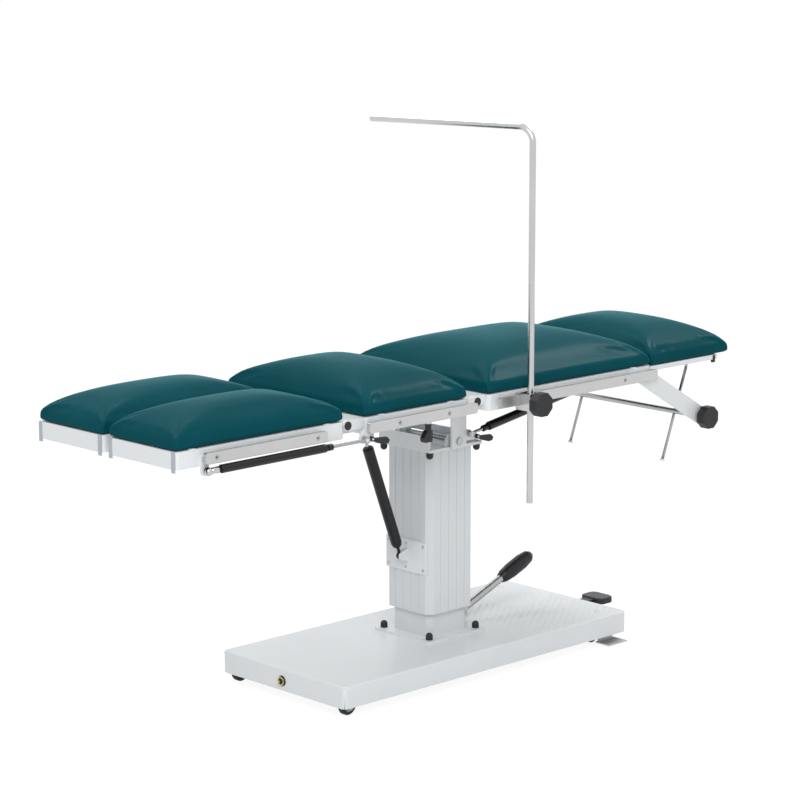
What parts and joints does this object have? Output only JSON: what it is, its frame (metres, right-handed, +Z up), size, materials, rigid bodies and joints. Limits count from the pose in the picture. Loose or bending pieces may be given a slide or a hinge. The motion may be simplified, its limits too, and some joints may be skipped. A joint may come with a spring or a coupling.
{
  "type": "operating table",
  "caption": "Wheeled operating table: split leg plates, seat, back and head sections with teal cushions on a foot-pumped lifting column, with side rails and a screen pole.",
  "frame": {"origin": "on the floor, under the middle of the lifting column and of the base", "axes": "+X along the table from the leg plates to the head plate, +Y to the side away from the screen pole's clamp, +Z up"},
  "size_m": [1.89, 0.612, 1.378],
  "materials": {
    "white_paint": "semi-gloss white powder coat",
    "steel": "satin",
    "chrome": "polished",
    "leatherette": "soft-sheen dark teal leatherette",
    "black_plastic": "matte black",
    "rubber": "matte",
    "black_steel": "satin black",
    "zinc_plate": "zinc-plated sheet",
    "brass": "satin"
  },
  "bodies": {
    "chassis": {"base_pan": "white_paint", "column_flange": "white_paint", "flange_bolt_caps": "black_plastic", "inner_column": "white_paint", "lift_cylinder": "steel", "pump_pivot_bracket": "white_paint", "earth_terminal": "brass"},
    "near_foot_wheel": {"near_foot_wheel": "rubber"},
    "far_foot_wheel": {"far_foot_wheel": "rubber"},
    "near_castor": {"near_head_castor_fork": "steel"},
    "far_castor": {"far_head_castor_fork": "steel"},
    "near_head_wheel": {"near_head_wheel": "rubber"},
    "far_head_wheel": {"far_head_wheel": "rubber"},
    "near_brake": {"near_castor_brake": "zinc_plate"},
    "far_brake": {"far_castor_brake": "zinc_plate"},
    "foot_lever": {"foot_lever_arm": "steel", "foot_lever_grip": "black_plastic"},
    "end_pedal": {"end_pedal": "rubber"},
    "lift": {"outer_column": "white_paint", "lift_ram": "chrome", "column_head": "white_paint", "column_head_caps": "black_plastic", "tilt_shaft": "steel", "tilt_spring_plate": "white_paint"},
    "seat": {"tilt_cradle": "white_paint", "seat_frame": "white_paint", "seat_rails": "steel", "seat_cushion": "leatherette", "hinge_pins": "black_plastic"},
    "tilt_handle": {"tilt_handle": "black_plastic"},
    "tilt_spring_cylinder": {"tilt_spring_cylinder": "black_steel"},
    "tilt_spring_rod": {"tilt_spring_rod": "chrome"},
    "near_leg": {"near_leg_frame": "white_paint", "near_leg_rail": "steel", "near_leg_cushion": "leatherette"},
    "far_leg": {"far_leg_frame": "white_paint", "far_leg_rail": "steel", "far_leg_cushion": "leatherette"},
    "near_leg_rod": {"near_leg_spring_rod": "chrome"},
    "near_leg_cylinder": {"near_leg_spring_cylinder": "black_steel"},
    "far_leg_rod": {"far_leg_spring_rod": "chrome"},
    "far_leg_cylinder": {"far_leg_spring_cylinder": "black_steel"},
    "near_leg_release": {"near_leg_release": "black_plastic"},
    "far_leg_release": {"far_leg_release": "black_plastic"},
    "back": {"back_frame": "white_paint", "back_rails": "steel", "back_cushion": "leatherette", "near_head_arm": "white_paint", "far_head_arm": "white_paint"},
    "back_rod": {"back_spring_rod": "chrome"},
    "back_cylinder": {"back_spring_cylinder": "black_steel"},
    "back_release": {"back_release": "black_plastic"},
    "crossbar": {"head_crossbar": "steel"},
    "head_knob": {"head_knob": "black_plastic"},
    "head": {"head_frame": "white_paint", "head_cushion": "leatherette"},
    "clamp": {"rail_clamp": "steel"},
    "clamp_knob": {"clamp_knob": "black_plastic"},
    "pole_bush": {"pole_bush": "brass"},
    "pole": {"screen_pole": "chrome"}
  },
  "joints": [
    {"name": "near_foot_wheel_spin", "type": "hinge", "parent": "chassis", "child": "near_foot_wheel", "pos_m": [-0.466, -0.195, 0.025], "axis": [0, 1, 0], "continuous": true},
    {"name": "near_castor_swivel", "type": "hinge", "parent": "chassis", "child": "near_castor", "pos_m": [0.438, -0.172, 0.062], "axis": [0, 0, 1], "continuous": true},
    {"name": "near_head_wheel_spin", "type": "hinge", "parent": "near_castor", "child": "near_head_wheel", "pos_m": [0.418, -0.172, 0.025], "axis": [0, 1, 0], "continuous": true},
    {"name": "near_brake_toe", "type": "hinge", "parent": "near_castor", "child": "near_brake", "pos_m": [0.438, -0.194, 0.027], "axis": [-1, 0, 0], "range_deg": [0, 10]},
    {"name": "far_foot_wheel_spin", "type": "hinge", "parent": "chassis", "child": "far_foot_wheel", "pos_m": [-0.466, 0.195, 0.025], "axis": [0, 1, 0], "continuous": true},
    {"name": "far_castor_swivel", "type": "hinge", "parent": "chassis", "child": "far_castor", "pos_m": [0.438, 0.172, 0.062], "axis": [0, 0, 1], "continuous": true},
    {"name": "far_head_wheel_spin", "type": "hinge", "parent": "far_castor", "child": "far_head_wheel", "pos_m": [0.418, 0.172, 0.025], "axis": [0, 1, 0], "continuous": true},
    {"name": "far_brake_toe", "type": "hinge", "parent": "far_castor", "child": "far_brake", "pos_m": [0.438, 0.194, 0.027], "axis": [1, 0, 0], "range_deg": [0, 10]},
    {"name": "pump_lever", "type": "hinge", "parent": "chassis", "child": "foot_lever", "pos_m": [0.108, 0, 0.107], "axis": [0, 1, 0], "range_deg": [0, 15], "stiffness_Nm_per_rad": 8, "springref_deg": -14.32},
    {"name": "end_pedal_press", "type": "hinge", "parent": "chassis", "child": "end_pedal", "pos_m": [0.47, 0, 0.046], "axis": [0, 1, 0], "range_deg": [0, 8], "stiffness_Nm_per_rad": 15, "springref_deg": -8.59},
    {"name": "column_lift", "type": "slide", "parent": "chassis", "child": "lift", "axis": [0, 0, 1], "range_m": [0, 0.22]},
    {"name": "table_tilt", "type": "hinge", "parent": "lift", "child": "seat", "pos_m": [0, 0, 0.583], "axis": [0, 1, 0], "range_deg": [0, 20]},
    {"name": "tilt_handle_turn", "type": "hinge", "parent": "seat", "child": "tilt_handle", "pos_m": [-0.236, -0.234, 0.68], "axis": [0, 0, 1], "range_deg": [0, 30], "stiffness_Nm_per_rad": 0.1, "springref_deg": -5.73},
    {"name": "tilt_spring_swing", "type": "hinge", "parent": "lift", "child": "tilt_spring_cylinder", "pos_m": [-0.104, 0, 0.291], "axis": [0, 1, 0], "range_deg": [0, 6.51]},
    {"name": "tilt_spring_stroke", "type": "slide", "parent": "tilt_spring_cylinder", "child": "tilt_spring_rod", "axis": [-0.3547, 0, 0.935], "range_m": [0, 0.0655]},
    {"name": "near_leg_drop", "type": "hinge", "parent": "seat", "child": "near_leg", "pos_m": [-0.508, 0, 0.714], "axis": [0, -1, 0], "range_deg": [0, 90]},
    {"name": "near_leg_spring_swing", "type": "hinge", "parent": "seat", "child": "near_leg_rod", "pos_m": [-0.47, -0.267, 0.678], "axis": [0, -1, 0], "range_deg": [0, 90]},
    {"name": "near_leg_spring_stroke", "type": "slide", "parent": "near_leg_rod", "child": "near_leg_cylinder", "axis": [-1, 0, -0.0042], "range_m": [-0.0742, 0]},
    {"name": "near_leg_release_press", "type": "hinge", "parent": "seat", "child": "near_leg_release", "pos_m": [-0.444, -0.2598, 0.676], "axis": [0, -1, 0], "range_deg": [0, 10], "stiffness_Nm_per_rad": 0.05, "springref_deg": -5.73},
    {"name": "far_leg_drop", "type": "hinge", "parent": "seat", "child": "far_leg", "pos_m": [-0.508, 0, 0.714], "axis": [0, -1, 0], "range_deg": [0, 90]},
    {"name": "far_leg_spring_swing", "type": "hinge", "parent": "seat", "child": "far_leg_rod", "pos_m": [-0.47, 0.267, 0.678], "axis": [0, -1, 0], "range_deg": [0, 90]},
    {"name": "far_leg_spring_stroke", "type": "slide", "parent": "far_leg_rod", "child": "far_leg_cylinder", "axis": [-1, 0, -0.0042], "range_m": [-0.0742, 0]},
    {"name": "far_leg_release_press", "type": "hinge", "parent": "seat", "child": "far_leg_release", "pos_m": [-0.444, 0.2598, 0.676], "axis": [0, -1, 0], "range_deg": [0, 10], "stiffness_Nm_per_rad": 0.05, "springref_deg": -5.73},
    {"name": "back_raise", "type": "hinge", "parent": "seat", "child": "back", "pos_m": [-0.082, 0, 0.714], "axis": [0, -1, 0], "range_deg": [0, 60]},
    {"name": "back_spring_swing", "type": "hinge", "parent": "seat", "child": "back_rod", "pos_m": [0.033, -0.11, 0.599], "axis": [0, -1, 0], "range_deg": [0, 61.65]},
    {"name": "back_spring_stroke", "type": "slide", "parent": "back_rod", "child": "back_cylinder", "axis": [0.9869, 0, 0.1616], "range_m": [0, 0.1622]},
    {"name": "back_release_press", "type": "hinge", "parent": "seat", "child": "back_release", "pos_m": [0.06, -0.1068, 0.588], "axis": [0, -1, 0], "range_deg": [0, 10], "stiffness_Nm_per_rad": 0.05, "springref_deg": -5.73},
    {"name": "head_turn", "type": "hinge", "parent": "back", "child": "crossbar", "pos_m": [0.745, 0, 0.567], "axis": [0, 1, 0], "range_deg": [0, 30]},
    {"name": "head_extend", "type": "slide", "parent": "crossbar", "child": "head", "axis": [0.3502, 0, 0.9367], "range_m": [0, 0.1]},
    {"name": "head_knob_turn", "type": "hinge", "parent": "crossbar", "child": "head_knob", "pos_m": [0.745, -0.275, 0.567], "axis": [0, 1, 0], "continuous": true},
    {"name": "clamp_shift", "type": "slide", "parent": "back", "child": "clamp", "axis": [1, 0, 0], "range_m": [-0.06, 0.38]},
    {"name": "clamp_knob_turn", "type": "hinge", "parent": "clamp", "child": "clamp_knob", "pos_m": [0.06, -0.32, 0.699], "axis": [0, 1, 0], "continuous": true},
    {"name": "pole_turn", "type": "hinge", "parent": "clamp", "child": "pole_bush", "pos_m": [0.06, -0.288, 0.7], "axis": [0, 0, 1], "continuous": true},
    {"name": "pole_height", "type": "slide", "parent": "pole_bush", "child": "pole", "axis": [0, 0, 1], "range_m": [-0.25, 0.2]}
  ],
  "couplings": [
    {"joint": "tilt_spring_swing", "follows": "table_tilt", "ratio": 0.32543},
    {"joint": "tilt_spring_stroke", "follows": "table_tilt", "m_per_rad": 0.18744},
    {"joint": "near_leg_spring_swing", "follows": "near_leg_drop", "ratio": 0.99731},
    {"joint": "near_leg_spring_stroke", "follows": "near_leg_drop", "m_per_rad": -0.047113},
    {"joint": "far_leg_spring_swing", "follows": "far_leg_drop", "ratio": 0.99731},
    {"joint": "far_leg_spring_stroke", "follows": "far_leg_drop", "m_per_rad": -0.047113},
    {"joint": "back_spring_swing", "follows": "back_raise", "ratio": 1.0273},
    {"joint": "back_spring_stroke", "follows": "back_raise", "m_per_rad": 0.15476}
  ]
}
